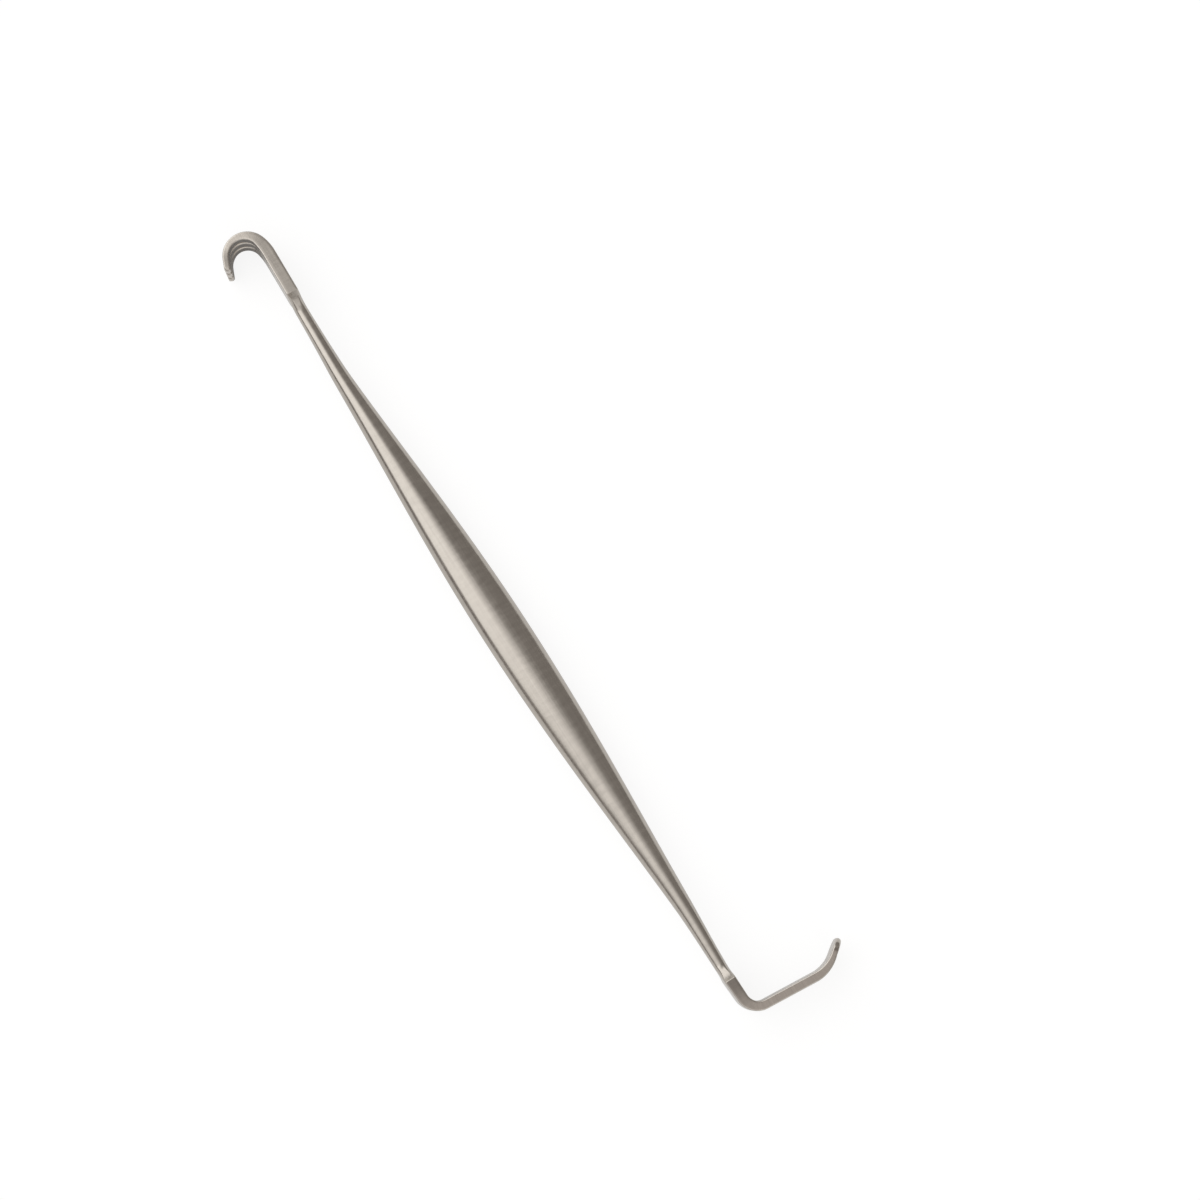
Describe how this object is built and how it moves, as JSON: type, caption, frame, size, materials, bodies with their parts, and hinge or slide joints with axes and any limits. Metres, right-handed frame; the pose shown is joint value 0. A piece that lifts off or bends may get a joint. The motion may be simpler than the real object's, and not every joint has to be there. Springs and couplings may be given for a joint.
{
  "type": "double-ended handheld surgical retractor",
  "caption": "Slim one-piece hand retractor: a satin steel handle with a curled, pronged rake at one end and an angled flat blade with a turned-in lip at the other.",
  "frame": {"origin": "middle of the handle, on its axis, halfway through the instrument's width", "axes": "+X along the handle from the rake to the blade, +Y the way the blade rises from the handle (the rake curls towards -Y), +Z across the width of both ends, upwards as the instrument lies on its side"},
  "size_m": [0.1608, 0.0262, 0.0088],
  "materials": {
    "satin_steel": "fine ground satin, softly brightened along the edges"
  },
  "bodies": {
    "root": {"retractor": "satin_steel"}
  },
  "joints": []
}
